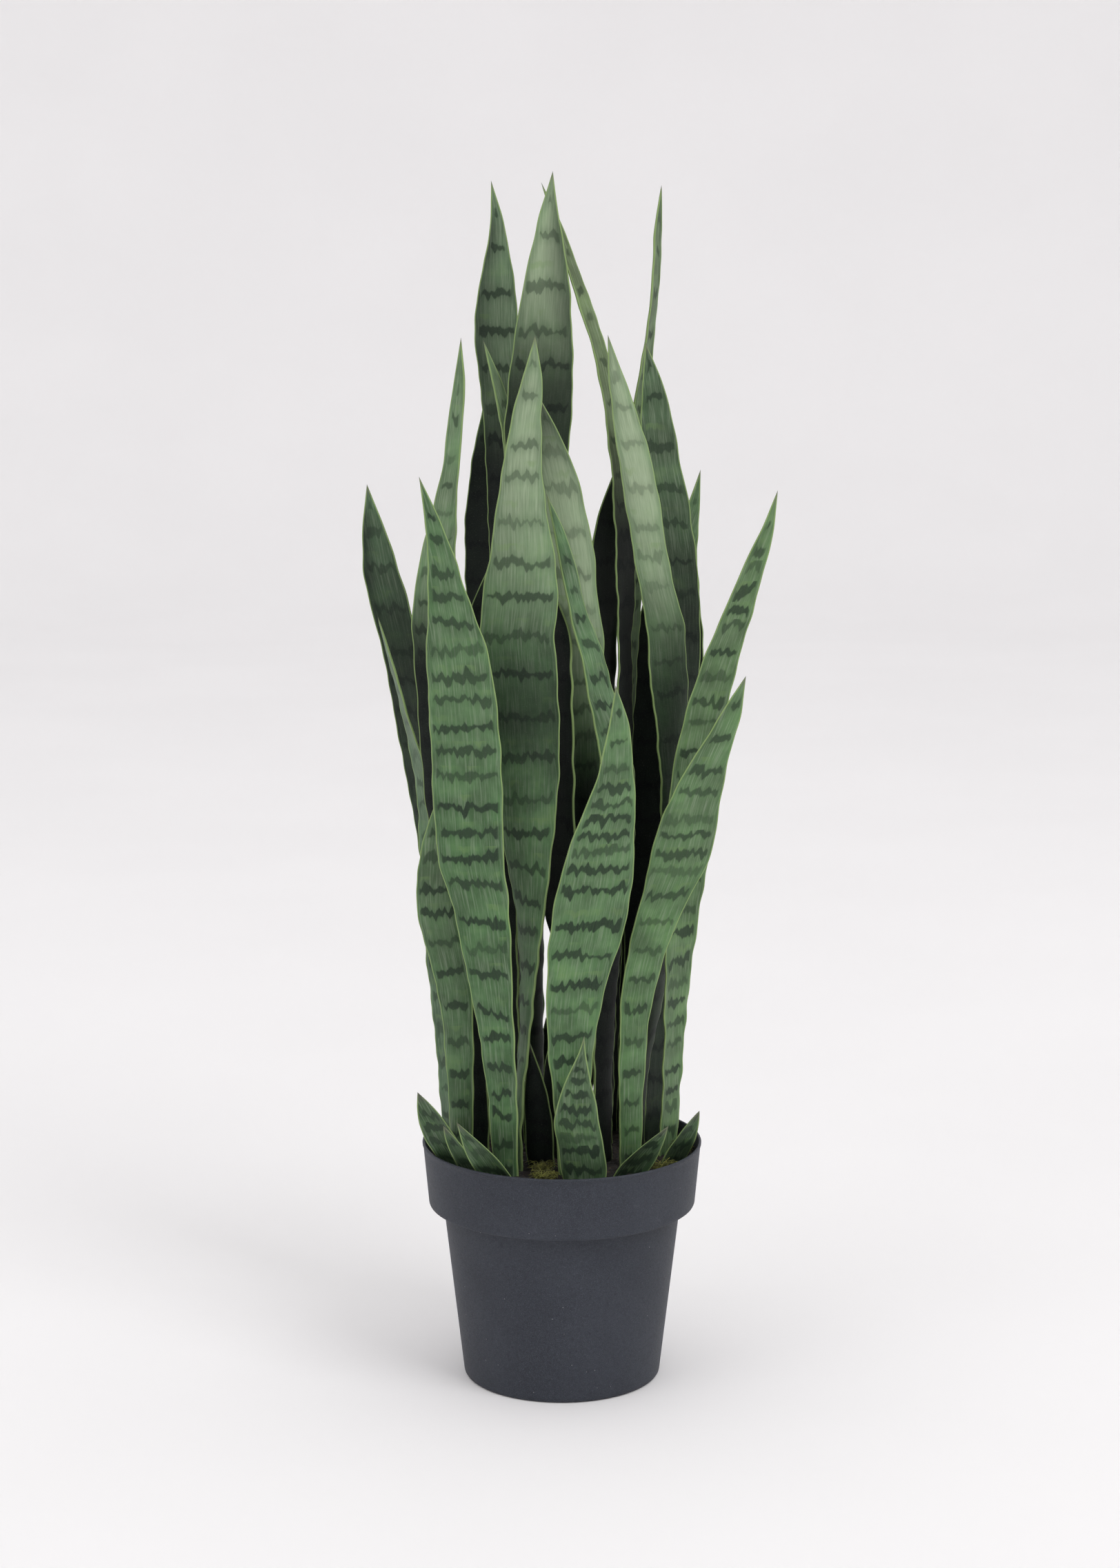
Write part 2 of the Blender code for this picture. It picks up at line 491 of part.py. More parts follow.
def main():
    """Builds the whole plant in an empty scene."""
    for obj in list(bpy.data.objects):
        bpy.data.objects.remove(obj)
    parts = bpy.data.collections.new("potted_snake_plant")
    cutters = bpy.data.collections.new("cutters")
    for collection in (parts, cutters):
        bpy.context.scene.collection.children.link(collection)
    make_pot(parts, cutters)
    hollows = [make_leaf(leaf, parts, cutters) for leaf in LEAVES]
    hollows += make_rhizomes(parts, cutters)
    make_soil(parts, hollows)
    make_moss(parts)


main()
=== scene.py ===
"""Looks of a potted snake plant: banded leaves, nursery pot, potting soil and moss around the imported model."""

import logging
import math
from collections.abc import Sequence
from dataclasses import dataclass
from enum import Enum

import bmesh
import bpy
import numpy as np
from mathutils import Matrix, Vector


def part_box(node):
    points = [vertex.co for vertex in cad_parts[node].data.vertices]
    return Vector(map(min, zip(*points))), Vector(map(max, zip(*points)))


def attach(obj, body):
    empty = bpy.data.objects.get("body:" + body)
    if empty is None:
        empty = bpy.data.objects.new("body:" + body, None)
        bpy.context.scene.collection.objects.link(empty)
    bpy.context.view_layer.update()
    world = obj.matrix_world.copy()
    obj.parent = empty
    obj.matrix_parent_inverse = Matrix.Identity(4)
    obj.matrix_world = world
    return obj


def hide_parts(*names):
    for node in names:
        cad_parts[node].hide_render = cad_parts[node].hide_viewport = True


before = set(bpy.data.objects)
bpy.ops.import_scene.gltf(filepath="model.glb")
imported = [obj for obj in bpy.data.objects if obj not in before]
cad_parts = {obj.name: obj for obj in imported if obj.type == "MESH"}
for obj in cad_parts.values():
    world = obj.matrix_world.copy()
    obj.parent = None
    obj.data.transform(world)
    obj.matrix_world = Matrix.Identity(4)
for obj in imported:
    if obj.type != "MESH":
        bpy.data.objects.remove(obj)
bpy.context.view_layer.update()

LOG = logging.getLogger("snake_plant")
MM = 0.001
BODY = "root"

# ---------------------------------------------------------------- shader helpers


class Operation(Enum):
    """What a Math node does."""

    ADD = "ADD"
    SUBTRACT = "SUBTRACT"
    MULTIPLY = "MULTIPLY"
    DIVIDE = "DIVIDE"
    ABSOLUTE = "ABSOLUTE"
    ROUND = "ROUND"
    MINIMUM = "MINIMUM"


class Value:
    """A number in a shader: Python's operators add Math nodes to its tree."""

    def __init__(self, shader: "Shader", socket: bpy.types.NodeSocket) -> None:
        """Wraps an output socket.

        Args:
            shader: The shader whose tree the socket is in.
            socket: The output that carries the number.
        """
        self.shader = shader
        self.socket = socket

    def _math(self, operation: Operation, *others: "Value | float",
              first: "Value | float | None" = None) -> "Value":
        """Adds one Math node.

        Args:
            operation: The Math node's operation.
            others: The numbers after the first one.
            first: What stands first, when that isn't this value.

        Returns:
            The node's result.
        """
        terms = [self if first is None else first, *others]
        node = self.shader.node("ShaderNodeMath", {"operation": operation.value}, dict(enumerate(terms)))
        return Value(self.shader, node.outputs[0])

    def __add__(self, other: "Value | float") -> "Value":
        """Sum."""
        return self._math(Operation.ADD, other)

    __radd__ = __add__

    def __sub__(self, other: "Value | float") -> "Value":
        """Difference."""
        return self._math(Operation.SUBTRACT, other)

    def __rsub__(self, other: float) -> "Value":
        """A plain number minus this."""
        return self._math(Operation.SUBTRACT, self, first=other)

    def __mul__(self, other: "Value | float") -> "Value":
        """Product."""
        return self._math(Operation.MULTIPLY, other)

    __rmul__ = __mul__

    def __truediv__(self, other: "Value | float") -> "Value":
        """Quotient."""
        return self._math(Operation.DIVIDE, other)

    def __abs__(self) -> "Value":
        """Size without sign."""
        return self._math(Operation.ABSOLUTE)

    def rounded(self) -> "Value":
        """Nearest whole number."""
        return self._math(Operation.ROUND)

    def least(self, other: "Value | float") -> "Value":
        """The smaller of two."""
        return self._math(Operation.MINIMUM, other)

    def step(self, low: "Value | float", high: "Value | float") -> "Value":
        """Smooth rise from 0 at low to 1 at high.

        Args:
            low: Where the rise starts.
            high: Where it ends.

        Returns:
            The rise, from 0 to 1.
        """
        node = self.shader.node(
            "ShaderNodeMapRange", {"interpolation_type": "SMOOTHSTEP"},
            {"Value": self, "From Min": low, "From Max": high, "To Min": 0.0, "To Max": 1.0},
        )
        return Value(self.shader, node.outputs[0])


class Shader:
    """A material under construction, with the nodes that feed one Principled shader."""

    def __init__(self, name: str) -> None:
        """Starts an empty material.

        Args:
            name: The material's name.
        """
        self.material = bpy.data.materials.new(name)
        self.material.use_nodes = True
        self.tree = self.material.node_tree
        self.surface = self.tree.nodes["Principled BSDF"]

    def node(self, kind: str, settings: dict | None = None, inputs: dict | None = None) -> bpy.types.Node:
        """Adds a node of any type.

        Args:
            kind: The node's type name.
            settings: Its properties.
            inputs: Values or links for its sockets, by name or number.

        Returns:
            The node.
        """
        made = self.tree.nodes.new(kind)
        for key, value in (settings or {}).items():
            setattr(made, key, value)
        for key, value in (inputs or {}).items():
            self.feed(made.inputs[key], value)
        return made

    def feed(self, socket: bpy.types.NodeSocket, value: object) -> None:
        """Links a socket, or sets it where the value is the same all over.

        Args:
            socket: The input to feed.
            value: A Value, another node's output, a number, or a colour of three numbers.
        """
        if isinstance(value, Value):
            self.tree.links.new(value.socket, socket)
        elif isinstance(value, bpy.types.NodeSocket):
            self.tree.links.new(value, socket)
        elif isinstance(value, tuple):
            socket.default_value = (*value, 1)
        else:
            socket.default_value = value

    def attribute(self, name: str) -> tuple[Value, Value, Value]:
        """The three numbers of a mesh's vector attribute.

        Args:
            name: The attribute's name.

        Returns:
            Its three parts.
        """
        source = self.node("ShaderNodeAttribute", {"attribute_name": name})
        parts = self.node("ShaderNodeSeparateXYZ", inputs={"Vector": source.outputs["Vector"]})
        return tuple(Value(self, parts.outputs[i]) for i in range(3))

    def vector(self, x: Value | float, y: Value | float, z: Value | float = 0.0) -> bpy.types.NodeSocket:
        """Joins three numbers into a vector."""
        return self.node("ShaderNodeCombineXYZ", inputs={"X": x, "Y": y, "Z": z}).outputs[0]

    def noise(self, vector: bpy.types.NodeSocket | None, scale: float, detail: float = 2.0,
              roughness: float = 0.5) -> Value:
        """Soft noise round 0.5.

        Args:
            vector: Where to read it; None reads the object's own coordinates.
            scale: How fine it is, per metre.
            detail: How many finer layers it has.
            roughness: How strong those are.

        Returns:
            The noise, from 0 to 1.
        """
        vector = vector or self.place()
        node = self.node("ShaderNodeTexNoise", inputs={
            "Vector": vector, "Scale": scale, "Detail": detail, "Roughness": roughness})
        return Value(self, node.outputs[0])

    def cells(self, vector: bpy.types.NodeSocket | None, scale: float) -> Value:
        """Distance to the nearest of scattered points, for teeth, specks and crumbs."""
        vector = vector or self.place()
        node = self.node("ShaderNodeTexVoronoi", {"feature": "F1"}, {"Vector": vector, "Scale": scale})
        return Value(self, node.outputs["Distance"])

    def place(self) -> bpy.types.NodeSocket:
        """The object's own coordinates."""
        return self.node("ShaderNodeTexCoord").outputs["Object"]

    def mix(self, share: Value | float, below: object, above: object) -> bpy.types.NodeSocket:
        """One colour over another.

        Args:
            share: How much of the upper colour shows.
            below: The lower colour, three numbers or a link.
            above: The upper colour.

        Returns:
            The mixed colour.
        """
        factor, lower, upper = 0, 6, 7
        made = self.node("ShaderNodeMix", {"data_type": "RGBA"}, {factor: share, lower: below, upper: above})
        return made.outputs[2]

    def bump(self, height: Value, distance: float, strength: float = 1.0) -> None:
        """Feeds a height to the surface's Normal through a Bump node.

        Args:
            height: The height, from 0 to 1.
            distance: What a height of 1 stands for, in metres.
            strength: How much of it shows.
        """
        node = self.node("ShaderNodeBump", inputs={
            "Height": height, "Distance": distance, "Strength": strength})
        self.tree.links.new(node.outputs[0], self.surface.inputs["Normal"])

    def finish(self, colour: bpy.types.NodeSocket, roughness: Value | float, **fixed: float) -> bpy.types.Material:
        """Links the surface's colour and roughness and sets what is the same all over.

        Args:
            colour: The surface's colour.
            roughness: Its roughness.
            fixed: Other sockets of the surface, with underscores for spaces.

        Returns:
            The finished material.
        """
        self.feed(self.surface.inputs["Base Color"], colour)
        self.feed(self.surface.inputs["Roughness"], roughness)
        for name, value in fixed.items():
            self.surface.inputs[name.replace("_", " ")].default_value = value
        return self.material


def linear(red: int, green: int, blue: int) -> tuple[float, float, float]:
    """A screen colour of three numbers up to 255, as the shader's linear numbers."""
    return tuple(
        c / 12.92 if c <= 0.04045 else ((c + 0.055) / 1.055) ** 2.4
        for c in (red / 255, green / 255, blue / 255)
    )


# ---------------------------------------------------------------- finishes


@dataclass(frozen=True)
class LeafFinish:
    """The skin of one leaf: mid green with dark toothed cross bands and a thin pale margin, under a painted sheen and
    painted shade.
    """

    name: str
    seed: float
    green: tuple = (82, 120, 75)
    bands: float = 1.0  # how strong the bands are
    yellow: tuple = (112, 142, 84)
    grey: tuple = (146, 160, 138)
    # The colour of the painted sheen, a painted highlight on the upper part.
    sheen: tuple = (158, 174, 144)
    band: tuple = (36, 50, 38)
    # The near-black colour of the painted shade on faces inside the clump.
    painted_shade: tuple = (7, 12, 13)
    margin: tuple = (140, 164, 104)
    dry_tip: tuple = (98, 92, 90)
    deepening: float = 0.72  # the darker green, as a share of the green
    tooth: float = 4.4 * MM
    sway: float = 9 * MM  # how far a band wanders up and down
    zigzag: float = 13 * MM  # depth of the zigzag that a band's two sides share
    swelling: float = 11 * MM  # half width of a band where it swells most
    trim: float = 0.2 * MM  # taken off each side, so that thin places break up
    soft: float = 0.9 * MM  # softness of a band's sides

    def material(self) -> bpy.types.Material:
        """Builds the skin from the blade's own coordinates.

        Returns:
            The material.
        """
        s = Shader(self.name)
        across, along, edge = s.attribute("blade")
        # The third number of the bands attribute is how strong the painted shade is.
        phase, pitch, painted_shade = s.attribute("bands")
        # pale is how strong the painted sheen is; tip is how dry the tip is.
        pale, tip, _ = s.attribute("tone")
        seeded = along + self.seed
        streaks = s.noise(s.vector(across * 60, seeded * 2.2), 14.0, 3.0, 0.6)
        fine = s.noise(s.vector(across * 220, seeded * 7), 9.0, 2.0)
        clouds = s.noise(s.vector(across, seeded), 34.0, 3.0, 0.55)
        grain = s.noise(s.vector(across, seeded), 900.0, 2.0, 0.7)

        green, yellow, grey = linear(*self.green), linear(*self.yellow), linear(*self.grey)
        deep = linear(*(round(c * self.deepening) for c in self.green))
        colour = s.mix(clouds.step(0.32, 0.72), deep, green)
        colour = s.mix(clouds.step(0.55, 0.85) * 0.5, colour, yellow)
        colour = s.mix(streaks.step(0.42, 0.75) * 0.42, colour, grey)
        # Painted highlight: a pale sheen on the upper part, weaker at the margins.
        sheen = pale * (streaks * 0.9 + 0.45) * (edge.step(0.0, 8 * MM) * 0.5 + 0.5)
        colour = s.mix(sheen.least(1.0), colour, linear(*self.sheen))
        colour = s.mix(fine.step(0.5, 0.8) * 0.22, colour, deep)

        # Each band is a dark ribbon with teeth on both sides. The steps and shifts keep its patterns apart.
        index = phase.rounded()

        def varied(step: float, shift: float, scale: float) -> Value:
            """Noise across the blade that differs from band to band."""
            return s.noise(s.vector(across, index * step + self.seed + shift), scale, 1.0)

        def teeth(step: float, shift: float, rate: float) -> Value:
            """Teeth across the blade that differ from band to band."""
            return s.cells(s.vector(across / self.tooth * rate, index * step + self.seed + shift), 1.0)

        swell = varied(3.7, 8.0, 60.0)
        place = ((phase - index) * pitch - (varied(7.31, 0.0, 26.0) - 0.5) * self.sway
                 - (teeth(5.17, 0.0, 1.0) - 0.4) * swell * self.zigzag)
        top = teeth(8.33, 5.1, 1.3) * (swell * self.swelling) - self.trim
        foot = teeth(9.71, 3.3, 1.2) * (swell * self.swelling) - self.trim
        ribbon = (place - top).step(self.soft, -self.soft) * (place + foot).step(-self.soft, self.soft)
        ends = (edge - varied(2.9, 21.0, 160.0) * (4.5 * MM)).step(0.0, 2.2 * MM)
        vigour = s.noise(s.vector(0.0, index * 1.37 + self.seed + 40.0), 1.0, 0.0)
        strength = vigour.step(0.25, 0.6) * 0.45 + 0.5
        # The bands fade under the painted sheen.
        mask = ribbon * ends * strength * (streaks * 0.7 + 0.6) * (1.0 - pale * 0.5) * self.bands
        halo = abs(place).step(9 * MM, 1 * MM) * ends * 0.28 * self.bands
        ghost = abs(place - pitch * 0.42).step(3.4 * MM, 1.2 * MM) * ends * swell.step(0.45, 0.7) * 0.3
        colour = s.mix(ghost, colour, yellow)
        colour = s.mix(halo, colour, deep)
        colour = s.mix(mask.least(1.0), colour, linear(*self.band))

        # Painted shade: the skin is painted nearly black where a face lies in shade, above all the front face of a
        # leaf inside the clump.
        colour = s.mix(painted_shade, colour, linear(*self.painted_shade))
        colour = s.mix(edge.step(1.3 * MM, 0.5 * MM) * 0.8, colour, linear(*self.margin))
        colour = s.mix(tip, colour, linear(*self.dry_tip))
        colour = s.mix(grain.step(0.55, 0.8) * 0.10, colour, grey)

        s.bump(streaks * 0.5 + fine * 0.3 + grain * 0.12 - mask * 0.12, 0.5 * MM, 0.6)
        return s.finish(colour, streaks * 0.16 + 0.38 + mask * 0.06 + painted_shade * 0.15, IOR=1.27)


@dataclass(frozen=True)
class PotFinish:
    """Matt moulded plastic: charcoal with a cold cast, fine pebble and a few pale dust specks."""

    name: str = "pot_plastic"

    def material(self) -> bpy.types.Material:
        """Builds the plastic.

        Returns:
            The material.
        """
        s = Shader(self.name)
        clouds = s.noise(None, 14.0, 3.0)
        pebble = s.noise(None, 1500.0, 2.0, 0.7)
        mottle = s.noise(None, 420.0, 2.0, 0.6)
        scuffs = s.noise(None, 60.0, 4.0, 0.7)
        specks = s.cells(None, 95.0)
        colour = s.mix(clouds.step(0.3, 0.7), linear(38, 42, 50), linear(46, 50, 58))
        colour = s.mix(pebble.step(0.45, 0.7) * 0.5, colour, linear(76, 79, 90))
        colour = s.mix(mottle.step(0.52, 0.75) * 0.35, colour, linear(31, 33, 41))
        colour = s.mix(scuffs.step(0.66, 0.78) * 0.2, colour, linear(96, 98, 106))
        colour = s.mix(specks.step(0.05, 0.025) * 0.5, colour, linear(150, 150, 152))
        s.bump(pebble * 0.7 + mottle * 0.3, 0.25 * MM, 0.5)
        return s.finish(colour, mottle * 0.18 + 0.5, IOR=1.4)


@dataclass(frozen=True)
class SoilFinish:
    """Peat: nearly black crumbs with a few brown fibres."""

    name: str = "potting_soil_finish"

    def material(self) -> bpy.types.Material:
        """Builds the peat.

        Returns:
            The material.
        """
        s = Shader(self.name)
        crumbs = s.cells(None, 420.0)
        clumps = s.noise(None, 90.0, 4.0, 0.65)
        fibres = s.noise(None, 260.0, 3.0, 0.6)
        colour = s.mix(clumps.step(0.35, 0.7), linear(22, 19, 17), linear(48, 38, 30))
        colour = s.mix(fibres.step(0.62, 0.74) * 0.6, colour, linear(98, 76, 52))
        colour = s.mix(crumbs.step(0.35, 0.7) * 0.6, colour, linear(14, 12, 11))
        s.bump(clumps * 0.6 + crumbs * 0.4, 2.0 * MM, 0.9)
        return s.finish(colour, clumps * 0.1 + 0.85)


@dataclass(frozen=True)
class MossFinish:
    """Dried moss: yellow-green strands, lighter and darker in tufts, with darker hairs."""

    name: str = "moss_finish"

    def material(self) -> bpy.types.Material:
        """Builds the moss.

        Returns:
            The material.
        """
        s = Shader(self.name)
        tufts = s.noise(None, 160.0, 3.0)
        hairs = s.noise(None, 1100.0, 2.0)
        colour = s.mix(tufts.step(0.35, 0.65), linear(66, 66, 30), linear(122, 124, 56))
        colour = s.mix(hairs.step(0.5, 0.75) * 0.5, colour, linear(62, 60, 30))
        s.bump(hairs, 0.4 * MM, 0.6)
        return s.finish(colour, tufts * 0.1 + 0.8)


@dataclass(frozen=True)
class RhizomeFinish:
    """Rhizome skin: pale orange-brown with rings."""

    name: str = "rhizome_skin"

    def material(self) -> bpy.types.Material:
        """Builds the skin.

        Returns:
            The material.
        """
        s = Shader(self.name)
        rings = s.noise(None, 130.0, 4.0, 0.6)
        stains = s.noise(None, 30.0, 3.0)
        colour = s.mix(rings.step(0.4, 0.65), linear(196, 140, 84), linear(150, 98, 56))
        colour = s.mix(stains.step(0.45, 0.7) * 0.6, colour, linear(88, 60, 40))
        s.bump(rings, 0.8 * MM, 0.7)
        return s.finish(colour, rings * 0.2 + 0.6)


@dataclass(frozen=True)
class StudioFinish:
    """Painted studio floor: near white with a trace of mottle."""

    name: str = "studio_floor_paint"

    def material(self) -> bpy.types.Material:
        """Builds the paint.

        Returns:
            The material.
        """
        s = Shader(self.name)
        mottle = s.noise(None, 2.0, 2.0)
        colour = s.mix(mottle.step(0.3, 0.7), (0.895, 0.885, 0.89), (0.91, 0.90, 0.905))
        s.bump(s.noise(None, 300.0, 2.0), 0.1 * MM, 0.2)
        return s.finish(colour, 0.9)


# ---------------------------------------------------------------- meshes


def triangles(node: str) -> np.ndarray:
    """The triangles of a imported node.

    Args:
        node: The node's name.

    Returns:
        Points of shape (count, 3, 3), in metres.
    """
    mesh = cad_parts[node].data
    mesh.calc_loop_triangles()
    points = np.empty(len(mesh.vertices) * 3, np.float32)
    mesh.vertices.foreach_get("co", points)
    corners = np.empty(len(mesh.loop_triangles) * 3, np.int32)
    mesh.loop_triangles.foreach_get("vertices", corners)
    return points.reshape(-1, 3).astype(float)[corners.reshape(-1, 3)]


def cut_at(faces: np.ndarray, height: float) -> np.ndarray:
    """Where a mesh crosses a level plane.

    Args:
        faces: Its triangles.
        height: The plane's height.

    Returns:
        The crossing points along the triangles' edges, as (count, 2).
    """
    found = []
    for a, b in ((0, 1), (1, 2), (2, 0)):
        p, q = faces[:, a], faces[:, b]
        crossed = (p[:, 2] - height) * (q[:, 2] - height) < 0
        share = (height - p[crossed, 2]) / (q[crossed, 2] - p[crossed, 2])
        found.append(p[crossed, :2] + (q[crossed, :2] - p[crossed, :2]) * share[:, None])
    return np.concatenate(found)


def soften(values: np.ndarray, at: np.ndarray, width: np.ndarray) -> np.ndarray:
    """Weighted running mean with a width of its own at each place.

    Args:
        values: What to smooth, one row for each place.
        at: The places.
        width: The mean's width at each place.

    Returns:
        The smoothed rows.
    """
    weight = np.exp(-0.5 * ((at[:, None] - at[None, :]) / width[:, None]) ** 2)
    weight /= weight.sum(axis=1, keepdims=True)
    # A local straight fit keeps the ends in place, where a plain mean would pull them inwards.
    centre = weight @ at
    spread = weight @ at**2 - centre**2
    mean = weight @ values
    slope = (weight @ (values * at[:, None]) - centre[:, None] * mean) / np.maximum(spread, 1e-12)[:, None]
    return mean + slope * (at - centre)[:, None]


def mesh_piece(name: str, points: np.ndarray, faces: Sequence, finish: bpy.types.Material) -> bpy.types.Object:
    """A smooth-shaded mesh object.

    Args:
        name: The piece's name.
        points: Its vertices.
        faces: Its faces, as rows of vertex numbers.
        finish: Its material.

    Returns:
        The object.
    """
    mesh = bpy.data.meshes.new(name)
    mesh.from_pydata(points.tolist(), [], [list(map(int, f)) for f in faces])
    mesh.materials.append(finish)
    mesh.shade_smooth()
    piece = bpy.data.objects.new(name, mesh)
    bpy.context.scene.collection.objects.link(piece)
    return piece


def ring_quads(rings: int, sides: int, start: int = 0) -> list[tuple[int, int, int, int]]:
    """Faces between neighbouring closed rings of vertices.

    Args:
        rings: How many rings there are.
        sides: How many vertices each has.
        start: The first ring's first vertex.

    Returns:
        The faces, as rows of vertex numbers.
    """
    return [
        tuple(start + n for n in (
            i * sides + j, i * sides + (j + 1) % sides, (i + 1) * sides + (j + 1) % sides, (i + 1) * sides + j))
        for i in range(rings - 1) for j in range(sides)]


def fan(hub: int, start: int, sides: int) -> list[tuple[int, int, int]]:
    """Triangles from one vertex to a closed ring.

    Args:
        hub: The vertex.
        start: The ring's first vertex.
        sides: How many vertices the ring has.

    Returns:
        The triangles, as rows of vertex numbers.
    """
    return [(hub, start + j, start + (j + 1) % sides) for j in range(sides)]


def settle(piece: bpy.types.Object, slot: str, *nodes: str) -> None:
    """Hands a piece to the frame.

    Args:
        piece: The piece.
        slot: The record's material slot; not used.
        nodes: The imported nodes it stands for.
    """
    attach(piece, BODY)
    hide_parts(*nodes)
    LOG.info("%s: %d vertices", piece.name, len(piece.data.vertices))


@dataclass(frozen=True)
class Habit:
    """How one leaf looks: its tone, its bands, its painted sheen and its painted shade."""

    first_band: float = 200.0  # mm, height of the lowest band
    gaps: tuple = ()  # mm, from each band to the next one up; what follows goes on at the mean gap
    pitch: float = 22.0  # mm, mean gap where none are given
    slope: float = 0.0  # how far the bands climb to the right, as a share of the way across
    painted_sheen: float = 0.12  # strength of the painted sheen, a painted highlight on the upper part
    sheen_from: float = 0.55  # where it starts, as a share of the leaf's height
    bands: float = 1.0  # how strong the bands are
    dark_below: float = 0.0  # mm, the front face is painted nearly black with shade up to here
    dark_fade: float = 60.0  # mm over which it comes to the leaf's own green
    darkness: float = 0.97  # how near to black it is there
    shade_at: float = 0.0  # mm, middle of a stretch of painted shade across the blade
    shade_reach: float = 60.0  # mm from that middle to where it has mostly gone
    shade_side: float = 0.0  # paints shade on one side of the front face, plus for the right
    green: tuple = (82, 120, 75)


HABITS: dict[str, Habit] = {
    "leaf_front_left": Habit(179, (21, 24, 17, 22, 23, 20, 31, 20, 21, 31, 19, 21, 17, 25, 19, 19, 21, 17, 21, 20, 20),
                             green=(78, 116, 72)),
    "leaf_centre_broad": Habit(335, (30, 23, 25, 28, 26, 32, 31, 34, 28, 31, 26, 30), pitch=28, painted_sheen=0.75,
                               sheen_from=0.74, bands=0.9, green=(82, 118, 76), shade_at=535, shade_reach=62),
    "leaf_centre_tallest": Habit(300, pitch=30, painted_sheen=0.85, sheen_from=0.8, bands=0.9, dark_below=770, dark_fade=100,
                                 darkness=0.85, shade_side=0.6),
    "leaf_back_left_tall": Habit(300, pitch=28, painted_sheen=0.3, dark_below=700, dark_fade=130, green=(76, 108, 76),
                                 shade_side=-0.55),
    "leaf_back_left_shaded": Habit(300, pitch=28, dark_below=720, dark_fade=70),
    "leaf_back_left_narrow": Habit(300, pitch=26, painted_sheen=0.5, sheen_from=0.5, bands=0.7),
    "leaf_back_leaning_narrow": Habit(300, pitch=26, dark_below=650, dark_fade=120, bands=0.9, green=(104, 124, 84)),
    "leaf_right_pale": Habit(300, pitch=30, painted_sheen=0.95, sheen_from=0.7, bands=0.6, dark_below=540, dark_fade=110,
                             darkness=0.8),
    "leaf_right_dark": Habit(300, pitch=29, bands=0.9, dark_below=590, dark_fade=120, darkness=0.8,
                             green=(66, 94, 64)),
    "leaf_back_right_slender": Habit(300, pitch=26, bands=0.9, dark_below=420, dark_fade=60, green=(88, 112, 76)),
    "leaf_back_low_right": Habit(200, pitch=22, dark_below=500, green=(74, 106, 70)),
    "shoot_back_centre": Habit(180, pitch=14, dark_below=300, green=(74, 106, 70)),
    "leaf_back_right_broad": Habit(300, pitch=27, dark_below=600, dark_fade=60),
    "leaf_back_centre_shaded": Habit(300, pitch=27, dark_below=690, dark_fade=50),
    "leaf_inner_right_broad": Habit(300, pitch=28, painted_sheen=0.85, sheen_from=0.62, bands=0.7, dark_below=450,
                                    dark_fade=100, shade_at=765, shade_reach=45),
    "leaf_inner_folded": Habit(300, pitch=24, dark_below=470, dark_fade=40, green=(80, 118, 76)),
    "leaf_front_right_broad": Habit(216, (28, 22, 20, 21, 20, 23, 25, 27, 17, 15, 11, 12, 13, 12, 15), slope=-0.05,
                                    green=(88, 126, 80)),
    "leaf_front_right_leaning": Habit(205, (22, 24, 27, 25, 24, 23, 24, 22, 18, 14, 13, 12), slope=-0.04, bands=0.85,
                                      green=(90, 128, 80)),
    "leaf_right_leaning_tall": Habit(300, pitch=18, bands=0.95, green=(92, 126, 80)),
    "leaf_left_wavy": Habit(300, pitch=24, dark_below=560, dark_fade=90, painted_sheen=0.3, bands=0.8, green=(90, 126, 84)),
    "leaf_far_left": Habit(300, pitch=27, bands=0.7, dark_below=560, dark_fade=150, darkness=0.8,
                           shade_side=-0.75, green=(76, 108, 76)),
    "leaf_far_left_edge": Habit(300, pitch=24, bands=0.7, green=(86, 118, 86)),
    "leaf_front_left_low": Habit(200, (25, 23, 25, 31, 27, 25, 22, 20), slope=-0.12, green=(80, 114, 74)),
    "leaf_inner_left": Habit(300, pitch=26, dark_below=620, dark_fade=60),
    "leaf_inner_centre": Habit(300, pitch=26, dark_below=640, dark_fade=30),
    "shoot_inner_centre": Habit(180, pitch=20, dark_below=300, dark_fade=30),
    "shoot_front": Habit(185, pitch=12, green=(74, 106, 68)),
}
SHOOT = Habit(176, pitch=13, bands=0.9, green=(66, 96, 62), painted_sheen=0.05)


@dataclass(frozen=True)
class Cuts:
    """A packed leaf's margins and channel at a row of heights, from its foot to its tip."""

    heights: np.ndarray
    left: np.ndarray
    right: np.ndarray
    hollow: np.ndarray
    tip: np.ndarray
    low: float


